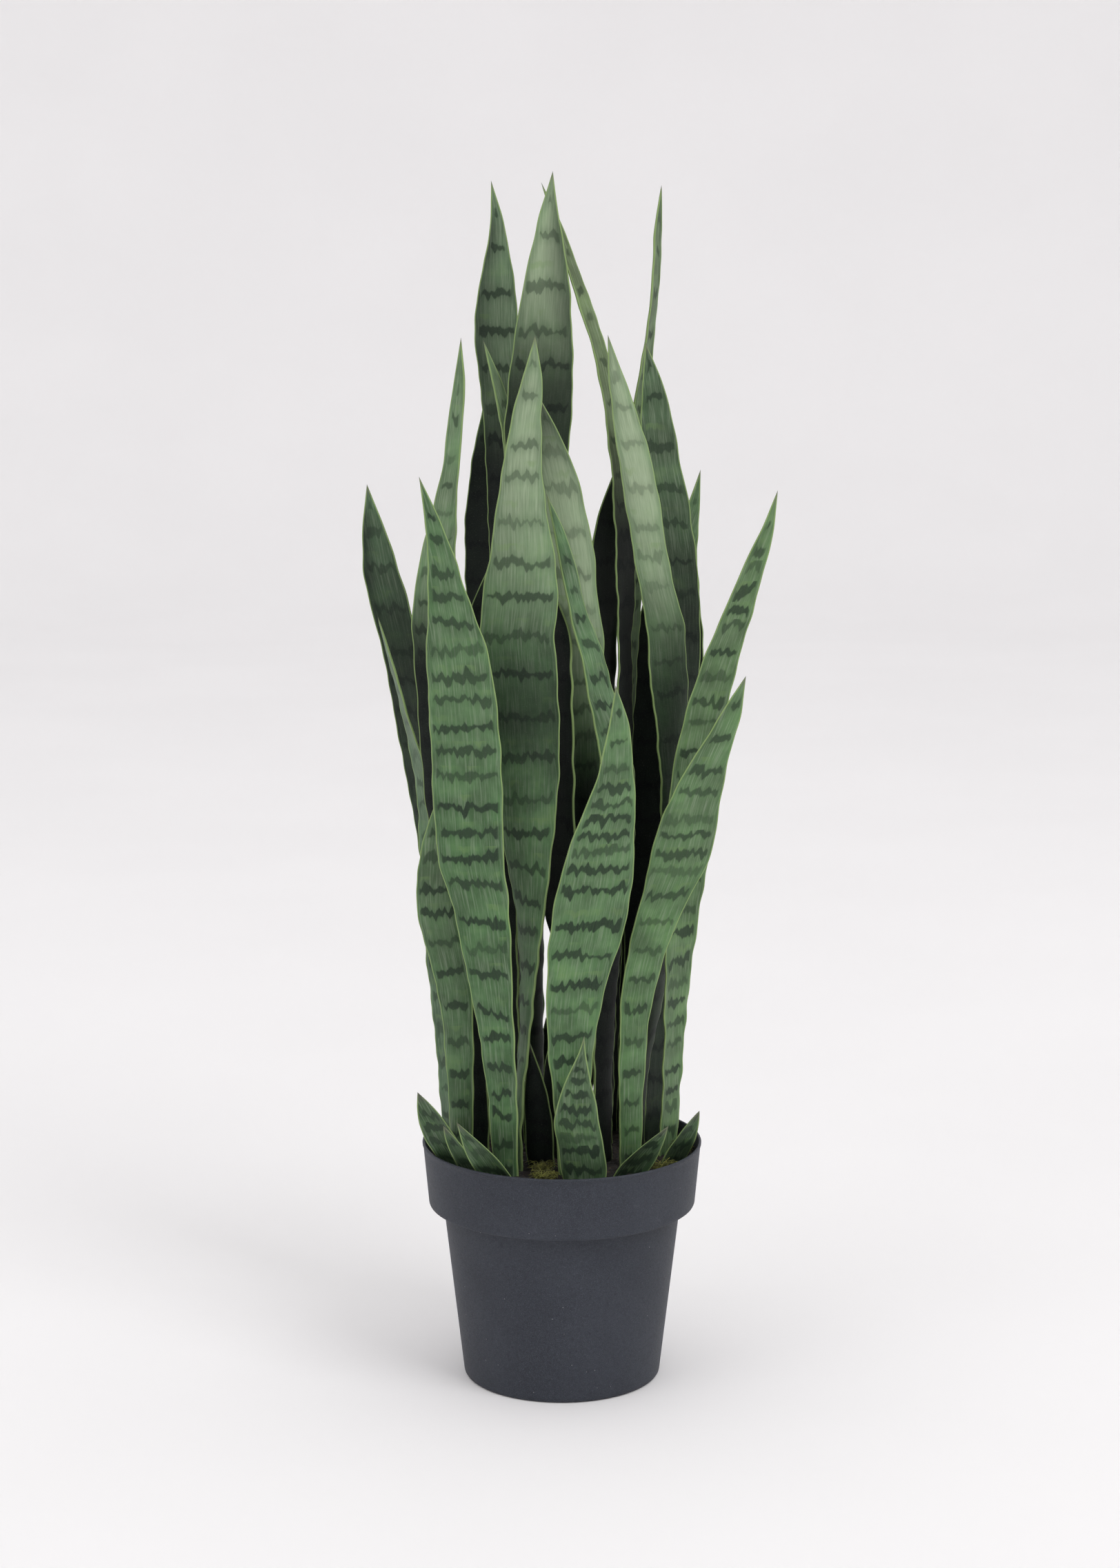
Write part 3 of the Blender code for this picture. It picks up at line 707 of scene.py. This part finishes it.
@dataclass
class Blade:
    """One leaf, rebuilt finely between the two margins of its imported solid."""

    node: str
    habit: Habit
    seed: int
    step: float = 2.5 * MM
    columns: int = 22
    smoothing: float = 6.5 * MM
    half_thick: float = 1.5 * MM
    ruffle: float = 0.5 * MM  # how far the margins wave out of the blade's plane
    waver: float = 0.35 * MM  # how far they wave in it
    foot_inset: float = 4 * MM
    tip_inset: float = 2 * MM
    narrow: float = 1.5 * MM  # below this width a cut's direction isn't trusted
    back_shift: float = 60 * MM  # parts the pattern on the back from the one on the front

    def measure(self) -> Cuts:
        """Reads the margins and the channel from level cuts through the solid.

        Returns:
            The cuts, smoothed along the leaf.
        """
        faces = triangles(self.node)
        corners = faces.reshape(-1, 3)
        low, tip = corners[:, 2].min(), corners[corners[:, 2].argmax()]
        heights = np.arange(low + self.foot_inset, tip[2] - self.tip_inset, self.step)
        rows = []
        side = None
        for height in heights:
            ring = cut_at(faces, height + 1e-6)  # just off the solid's own vertices
            gaps = np.linalg.norm(ring[:, None] - ring[None, :], axis=2)
            i, j = np.unravel_index(gaps.argmax(), gaps.shape)
            left, right = (ring[i], ring[j]) if ring[i, 0] < ring[j, 0] else (ring[j], ring[i])
            if side is not None and (right - left) @ side < 0:
                left, right = right, left
            side = right - left
            across = (ring - (left + right) / 2) @ side / (side @ side)
            normal = np.array([-side[1], side[0]]) / np.linalg.norm(side)
            off = (ring - (left + right) / 2) @ normal
            middle = np.abs(across) < 0.3
            hollow = (off[middle].min() + off[middle].max()) / 2 if middle.sum() > 1 else 0.0
            rows.append([*left, *right, hollow])
        rows.append([*tip[:2], *tip[:2], 0.0])
        heights = np.append(heights, tip[2])
        width = np.clip(0.3 * (tip[2] - heights), 1.2 * MM, self.smoothing)
        width = np.minimum(width, 2 * MM + 0.5 * (heights - heights[0] + 4 * MM))
        smooth = soften(np.array(rows), heights, width)
        smooth[-1, :4] = rows[-1][:4]
        return Cuts(heights, smooth[:, 0:2], smooth[:, 2:4], smooth[:, 4], tip, low)

    def band_phase(self, along: np.ndarray) -> tuple[np.ndarray, np.ndarray]:
        """Counts bands along the leaf.

        Args:
            along: Heights, in metres.

        Returns:
            The band count, whole at each band's middle, and the local gap in metres.
        """
        habit = self.habit
        rng = np.random.default_rng(self.seed + 500)
        mean = float(np.mean(habit.gaps)) if habit.gaps else habit.pitch
        centres = [habit.first_band]
        for gap in habit.gaps:
            centres.append(centres[-1] + gap)
        top, foot = 1000, 120  # mm, beyond every tip and below the soil
        while centres[-1] < top:
            centres.append(centres[-1] + mean * rng.uniform(0.72, 1.3))
        while centres[0] > foot:
            centres.insert(0, centres[0] - mean * rng.uniform(0.8, 1.25))
        centres = np.array(centres) * MM
        counts = np.arange(len(centres), dtype=float)
        between = (centres[1:] + centres[:-1]) / 2
        return np.interp(along, centres, counts), 1 / np.interp(along, between, 1 / np.diff(centres))

    def painted_shade(self, heights: np.ndarray, to_tip: np.ndarray, loop: list) -> np.ndarray:
        """How near to black the painted shade makes the skin.

        Args:
            heights: The rows' heights, in metres.
            to_tip: 0 at the tip, rising to 1 further down, for each row.
            loop: The place across the blade and the face, for each point round it.

        Returns:
            The darkness from 0 to 1, as (row, point).
        """
        habit = self.habit
        above = heights / MM
        front = np.array([[float(face > 0) for _, face in loop]])
        # Painted shade on the front face, nearly black up to dark_below.
        if habit.dark_below:
            dark = 1 - np.clip((above - habit.dark_below) / habit.dark_fade, 0, 1)
            dark = dark * dark * (3 - 2 * dark)
            painted_shade = habit.darkness * dark[:, None] * front
        else:
            # Painted shade: a little darker near the soil.
            near_soil = 1 - np.clip((above - 180) / 70, 0, 1)
            painted_shade = np.repeat(0.12 * (near_soil * near_soil)[:, None], len(loop), axis=1)
        # A stretch of painted shade across the front face.
        if habit.shade_at:
            stretch = np.exp(-(((above - habit.shade_at) / habit.shade_reach) ** 2))
            painted_shade = np.maximum(painted_shade, 0.72 * stretch[:, None] * front)
        # Painted shade on one side of the front face, less towards the tip.
        if habit.shade_side:
            across = np.array([[a for a, _ in loop]]) * math.copysign(1, habit.shade_side)
            sideways = np.clip(0.35 + 0.9 * across, 0, 1) * front * abs(habit.shade_side)
            painted_shade = np.maximum(painted_shade, sideways * to_tip[:, None])
        # Painted shade on the back face, darker towards the foot.
        return np.maximum(painted_shade, 0.45 * (1 - front) * (1 - np.clip((above - 300) / 200, 0, 1))[:, None])

    def build(self) -> bpy.types.Object:
        """Builds the blade's mesh with its coordinates for the skin.

        Returns:
            The piece.
        """
        cuts = self.measure()
        habit = self.habit
        rng = np.random.default_rng(self.seed)
        heights, count = cuts.heights, len(cuts.heights)
        side = cuts.right - cuts.left
        wide = np.linalg.norm(side, axis=1)
        unit = side / np.maximum(wide, 1e-9)[:, None]
        for i in range(count - 1, 0, -1):
            if wide[i] < self.narrow <= wide[i - 1]:
                unit[i] = unit[i - 1]
        unit[-1] = unit[-2]
        normal = np.stack([-unit[:, 1], unit[:, 0]], axis=1)
        middle, half = (cuts.left + cuts.right) / 2, wide / 2
        to_tip = np.clip((heights[-1] - heights) / (40 * MM), 0, 1)
        thick = np.minimum(self.half_thick * (0.35 + 0.65 * to_tip), 0.42 * wide)
        thick[-1] = 0
        phases = rng.uniform(0, math.tau, 6)
        waves = rng.uniform(0.75, 1.25, 6)

        def wave(number: int, length: float) -> np.ndarray:
            """One of the waves along the leaf."""
            return np.sin(heights / (length * waves[number]) * math.tau + phases[number])

        gentle = np.clip(wide / (24 * MM), 0, 1) * to_tip
        ruffle_left = self.ruffle * gentle * (wave(0, 0.043) + 0.6 * wave(1, 0.019))
        ruffle_right = self.ruffle * gentle * (wave(2, 0.047) + 0.6 * wave(3, 0.021))
        sway = self.ruffle * gentle * wave(4, 0.09)
        waver_left = self.waver * gentle * (wave(5, 0.052) + 0.5 * wave(1, 0.027))
        waver_right = self.waver * gentle * (wave(4, 0.049) + 0.5 * wave(3, 0.024))

        arc = np.sin(np.linspace(-1, 1, self.columns + 1) * math.pi / 2)
        loop = [(a, 1) for a in arc] + [(a, -1) for a in arc[-2:0:-1]]
        size = len(loop)
        phase, pitch = self.band_phase(heights)
        rings, blade, bands = [], [], []
        for a, face in loop:
            edge_share = 1 - abs(a)
            profile = math.sqrt(max(0.0, 1 - a * a)) ** 0.7
            bead = 0.22 * math.exp(-((edge_share / 0.045) ** 2)) * (abs(a) < 1)
            offset = (cuts.hollow + sway) * (1 - a * a)
            offset = offset + np.where(a < 0, ruffle_left, ruffle_right) * a * a * abs(a)
            offset = offset - face * thick * (profile + bead)
            spread = a * half + np.where(a < 0, -waver_left, waver_right) * a * a
            xy = middle + unit * spread[:, None] + normal * offset[:, None]
            rings.append(np.column_stack([xy, heights]))
            shift = self.back_shift if face < 0 else 0
            blade.append(np.column_stack([a * half + shift, heights, half * edge_share]))
            bands.append(np.column_stack([phase + habit.slope * a * half / pitch, pitch]))
        blade, bands = np.stack(blade, axis=1), np.stack(bands, axis=1)
        # The painted shade goes into the third number of the bands attribute.
        bands = np.dstack([bands, self.painted_shade(heights, to_tip, loop)])
        rise = (heights - cuts.low) / (heights[-1] - cuts.low)
        # Painted highlight: the pale sheen on the upper part of the leaf.
        pale = habit.painted_sheen * np.clip((rise - habit.sheen_from + 0.12) / 0.24, 0, 1)
        dry = np.clip(1 - (heights[-1] - heights) / (11 * MM), 0, 1) ** 1.3 * 0.85
        # The tone attribute holds the painted sheen and the dry tip.
        tone = np.zeros((count, size, 3))
        tone[:, :, 0] = np.maximum(pale, 0.05)[:, None]
        tone[:, :, 1] = dry[:, None]

        points = np.vstack([np.stack(rings, axis=1)[:-1].reshape(-1, 3), [cuts.tip]])
        faces = [*ring_quads(count - 1, size), *fan(len(points) - 1, (count - 2) * size, size),
                 tuple(range(size))[::-1]]
        skin = LeafFinish(f"{self.node}_skin", self.seed * 0.617, habit.green, habit.bands)
        piece = mesh_piece(f"{self.node}_blade", points, faces, skin.material())
        for name, values in (("blade", blade), ("bands", bands), ("tone", tone)):
            flat = np.vstack([values[:-1].reshape(-1, 3), values[-1].mean(axis=0)[None]])
            piece.data.attributes.new(name, "FLOAT_VECTOR", "POINT").data.foreach_set(
                "vector", flat.astype(np.float32).ravel())
        turn_out(piece)
        settle(piece, "leaf_green", self.node)
        return piece


def turn_out(piece: bpy.types.Object) -> None:
    """Turns a closed mesh's faces to look outwards."""
    shape = bmesh.new()
    shape.from_mesh(piece.data)
    bmesh.ops.recalc_face_normals(shape, faces=shape.faces)
    shape.to_mesh(piece.data)
    shape.free()


@dataclass
class Pot:
    """The nursery pot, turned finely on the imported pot's own steps."""

    steps: int = 180
    wall: float = 2.4 * MM
    collar_drop: float = 50 * MM
    hole_radius: float = 6 * MM
    hole_ring: float = 48 * MM
    holes: int = 6

    def build(self) -> bpy.types.Object:
        """Turns the pot and cuts its drain holes.

        Returns:
            The piece.
        """
        _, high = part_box("pot")
        rim, top = high.x, high.z
        faces = triangles("pot")

        def radius(height: float) -> float:
            """Outer radius at a height."""
            return float(np.linalg.norm(cut_at(faces, height), axis=1).max())

        foot = top - self.collar_drop
        base = radius(4 * MM) - 0.1 * MM
        waist = radius(foot - 7 * MM)
        collar = radius(foot + 2 * MM)
        w = self.wall
        outer = [
            (rim - w + 0.5 * MM, top - 0.35 * MM), (rim - w + 0.9 * MM, top), (rim - 0.8 * MM, top),
            (rim - 0.25 * MM, top - 0.25 * MM), (rim, top - 0.9 * MM), (rim - 0.1 * MM, top - 2.2 * MM),
            (rim - 0.8 * MM, top - 3.0 * MM), (rim - 0.95 * MM, top - 6 * MM),
            (collar + 0.15 * MM, foot + 3 * MM), (collar, foot + 1.4 * MM), (collar - 0.4 * MM, foot + 0.4 * MM),
            (collar - 1.2 * MM, foot), (waist + 2.5 * MM, foot - 0.8 * MM), (waist + 0.8 * MM, foot - 2 * MM),
            (waist + 0.1 * MM, foot - 4.5 * MM), (waist, foot - 7 * MM),
            (base, 4 * MM), (base - 0.35 * MM, 2 * MM), (base - 1.2 * MM, 0.7 * MM), (base - 2.6 * MM, 0.08 * MM),
            (base - 3.4 * MM, 0), (base - 6 * MM, 0), (base - 7 * MM, 0.9 * MM), (0, 0.9 * MM),
        ]
        inner = [
            (0, 3 * MM), (base - w - 2 * MM, 3 * MM), (base - w, 5 * MM), (waist - w, foot - 4 * MM),
            (collar - w - 0.8 * MM, foot + 1.0 * MM), (collar - w, foot + 3 * MM), (rim - w - 0.3 * MM, top - 4 * MM),
            (rim - w + 0.2 * MM, top - 1 * MM),
        ]
        profile = np.array([*inner, *outer])
        angles = np.linspace(0, math.tau, self.steps, endpoint=False)
        ring = np.column_stack([np.cos(angles), np.sin(angles)])
        body = profile[1:-1]
        points = np.concatenate([
            np.column_stack([ring * r, np.full(self.steps, z)]) for r, z in body])
        points = np.vstack([points, [[0, 0, profile[0, 1]], [0, 0, profile[-1, 1]]]])
        n = self.steps
        first, last = len(points) - 2, len(points) - 1
        caps = [*fan(first, 0, n), *fan(last, (len(body) - 1) * n, n)]
        piece = mesh_piece("nursery_pot", points, [*ring_quads(len(body), n), *caps], PotFinish().material())
        turn_out(piece)
        for i in range(self.holes):
            angle = math.tau * (i + 0.5) / self.holes
            bpy.ops.mesh.primitive_cylinder_add(
                vertices=32, radius=self.hole_radius, depth=20 * MM,
                location=(self.hole_ring * math.cos(angle), self.hole_ring * math.sin(angle), 0))
            cutter = bpy.context.object
            cut = piece.modifiers.new("hole", "BOOLEAN")
            cut.operation, cut.solver, cut.object = "DIFFERENCE", "EXACT", cutter
            bpy.context.view_layer.objects.active = piece
            bpy.ops.object.modifier_apply(modifier="hole")
            bpy.data.objects.remove(cutter)
        piece.data.shade_smooth()
        piece.data.set_sharp_from_angle(angle=math.radians(50))
        settle(piece, "pot_plastic", "pot")
        return piece


@dataclass
class Soil:
    """The peat's surface: a low crown of crumbs inside the rim, with a closed underside."""

    rings: int = 110
    spokes: int = 300
    crumb: float = 1.6 * MM
    waves: int = 60  # sine waves in all directions that add up to the crumbs
    crown_drop: float = 2 * MM  # from the middle to the rim
    sink: float = 1.2 * MM
    depth: float = 12 * MM

    def build(self) -> bpy.types.Object:
        """Builds the peat.

        Returns:
            The piece.
        """
        _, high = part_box("potting_soil")
        radius, crown = high.x + 0.2 * MM, high.z
        rng = np.random.default_rng(41)
        shares = np.linspace(0, 1, self.rings + 1)[1:]
        angles = np.linspace(0, math.tau, self.spokes, endpoint=False)
        r, a = np.meshgrid(shares * radius, angles, indexing="ij")
        x, y = r * np.cos(a), r * np.sin(a)
        z = crown - self.crown_drop * (r / radius) ** 2
        for _ in range(self.waves):
            direction, rate = rng.uniform(0, math.tau), rng.uniform(150, 1400)
            z += self.crumb * 7 / rate**0.62 * np.sin(
                (x * math.cos(direction) + y * math.sin(direction)) * rate + rng.uniform(0, math.tau)) * 0.6
        z = np.minimum(z, crown + 3 * MM) - self.sink
        surface = np.stack([x, y, z], axis=2).reshape(-1, 3)
        wall = surface[-self.spokes:].copy()
        wall[:, 2] = crown - self.depth
        points = np.vstack([surface, wall, [[0, 0, crown - self.sink], [0, 0, crown - self.depth]]])
        n = self.spokes
        top, under = len(points) - 2, len(points) - 1
        faces = [*ring_quads(self.rings + 1, n), *fan(top, 0, n), *fan(under, self.rings * n, n)]
        piece = mesh_piece("potting_soil_surface", points, faces, SoilFinish().material())
        turn_out(piece)
        settle(piece, "soil", "potting_soil")
        return piece


@dataclass
class Moss:
    """One tuft of dried moss: short crossing strands over its packed clump."""

    node: str
    seed: int
    strands: int = 150
    thick: float = 0.35 * MM
    strand_sides: int = 5
    spots: int = 6  # places along a strand where its path is worked out

    def build(self, finish: bpy.types.Material) -> bpy.types.Object:
        """Builds the tuft.

        Args:
            finish: The moss material.

        Returns:
            The piece.
        """
        low, high = (np.array(corner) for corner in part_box(self.node))
        rng = np.random.default_rng(self.seed)
        centre, half = (low + high) / 2, (high - low) / 2
        points, faces = [], []
        for _ in range(self.strands):
            angle, spread = rng.uniform(0, math.tau), math.sqrt(rng.uniform(0, 0.85))
            root = centre + half * (math.cos(angle) * spread, math.sin(angle) * spread, -0.6)
            heading = rng.uniform(0, math.tau)
            length = rng.uniform(3, 8) * MM
            lift = rng.uniform(0.2, 1.0)
            path = []
            for t in np.linspace(0, 1, self.spots):
                sway = 0.35 * length * math.sin(t * 5 + angle)
                path.append(root + np.array([
                    math.cos(heading) * length * t - math.sin(heading) * sway,
                    math.sin(heading) * length * t + math.cos(heading) * sway,
                    length * lift * math.sin(t * 2.2)]))
            path = np.minimum(path, [1, 1, high[2] + 1.5 * MM])
            start = len(points)
            for i, spot in enumerate(path):
                ahead = path[min(i + 1, self.spots - 1)] - path[max(i - 1, 0)]
                ahead = ahead / np.linalg.norm(ahead)
                side = np.cross(ahead, (0.3, 0.2, 0.93))
                side /= np.linalg.norm(side)
                up = np.cross(side, ahead)
                girth = self.thick * (1 - 0.12 * i)
                for k in range(self.strand_sides):
                    turn = math.tau * k / self.strand_sides
                    points.append(spot + (side * math.cos(turn) + up * math.sin(turn)) * girth)
            n = self.strand_sides
            last = start + (self.spots - 1) * n
            faces += [*ring_quads(self.spots, n, start), tuple(range(start, start + n))[::-1],
                      tuple(range(last, last + n))]
        piece = mesh_piece(f"{self.node}_tuft", np.array(points), faces, finish)
        turn_out(piece)
        settle(piece, "moss", self.node)
        return piece


@dataclass(frozen=True)
class Softbox:
    """A square area light that faces the plant."""

    name: str
    place: tuple  # metres
    power: float  # watts
    side: float = 2.6
    aim: tuple = (0, 0, 0.45)

    def build(self) -> None:
        """Hangs the light."""
        light = bpy.data.lights.new(self.name, "AREA")
        light.size, light.energy = self.side, self.power
        holder = bpy.data.objects.new(self.name, light)
        bpy.context.scene.collection.objects.link(holder)
        holder.location = self.place
        holder.rotation_euler = (Vector(self.aim) - Vector(self.place)).to_track_quat("-Z", "Y").to_euler()


@dataclass
class Studio:
    """The bright round studio: floor, lights and camera."""

    floor_radius: float = 5.0
    sweep: float = 2.0
    wall_top: float = 7.0
    sides: int = 96
    sky: tuple = (1.0, 0.995, 0.995, 1)
    sky_strength: float = 0.93
    lights: tuple = (Softbox("key_light", (2.9, -2.9, 4.4), 92), Softbox("fill_light", (-3.2, -2.6, 3.4), 22))
    camera_place: tuple = (-0.0015, -2.357, 0.881)
    camera_down: float = 9.79  # degrees below level
    sensor: float = 36.0  # mm
    focal: float = 70.9235  # mm

    def build(self) -> None:
        """Builds the floor with its raised rim, the lights and the camera."""
        profile = [(0.001, 0), (self.floor_radius, 0)]
        for angle in np.linspace(0, math.pi / 2, 16)[1:]:
            profile.append((self.floor_radius + self.sweep * math.sin(angle), self.sweep * (1 - math.cos(angle))))
        profile.append((self.floor_radius + self.sweep, self.wall_top))
        n = self.sides
        points = np.array([
            (r * math.cos(math.tau * j / n), r * math.sin(math.tau * j / n), z) for r, z in profile for j in range(n)])
        faces = [*ring_quads(len(profile), n), tuple(range(n))[::-1]]
        floor = mesh_piece("studio_floor", points, faces, StudioFinish().material())
        world = bpy.data.worlds.new("studio_light")
        bpy.context.scene.world = world
        world.use_nodes = True
        background = world.node_tree.nodes["Background"].inputs
        background["Color"].default_value = self.sky
        background["Strength"].default_value = self.sky_strength
        for light in self.lights:
            light.build()
        camera = bpy.data.objects.new("camera", bpy.data.cameras.new("camera"))
        bpy.context.scene.collection.objects.link(camera)
        camera.location = self.camera_place
        camera.rotation_euler = (math.radians(90 - self.camera_down), 0, 0)
        camera.data.sensor_fit = "VERTICAL"
        camera.data.sensor_height = camera.data.sensor_width = self.sensor
        camera.data.lens = self.focal
        bpy.context.scene.camera = camera
        bpy.context.scene.view_settings.view_transform = "Standard"


def main() -> None:
    """Builds the studio and every piece of the plant in order."""
    logging.basicConfig(level=logging.INFO, format="%(name)s %(message)s")
    Studio().build()
    Pot().build()
    Soil().build()
    moss = MossFinish().material()
    rhizome = RhizomeFinish().material()
    for seed, node in enumerate(sorted(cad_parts)):
        if node.startswith("moss"):
            Moss(node, seed + 70).build(moss)
        elif node.startswith("rhizome"):
            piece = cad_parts[node]
            piece.data.materials.clear()
            piece.data.materials.append(rhizome)
        elif node.startswith(("leaf", "shoot")):
            Blade(node, HABITS.get(node, SHOOT), seed).build()


if __name__ == "__main__":
    main()
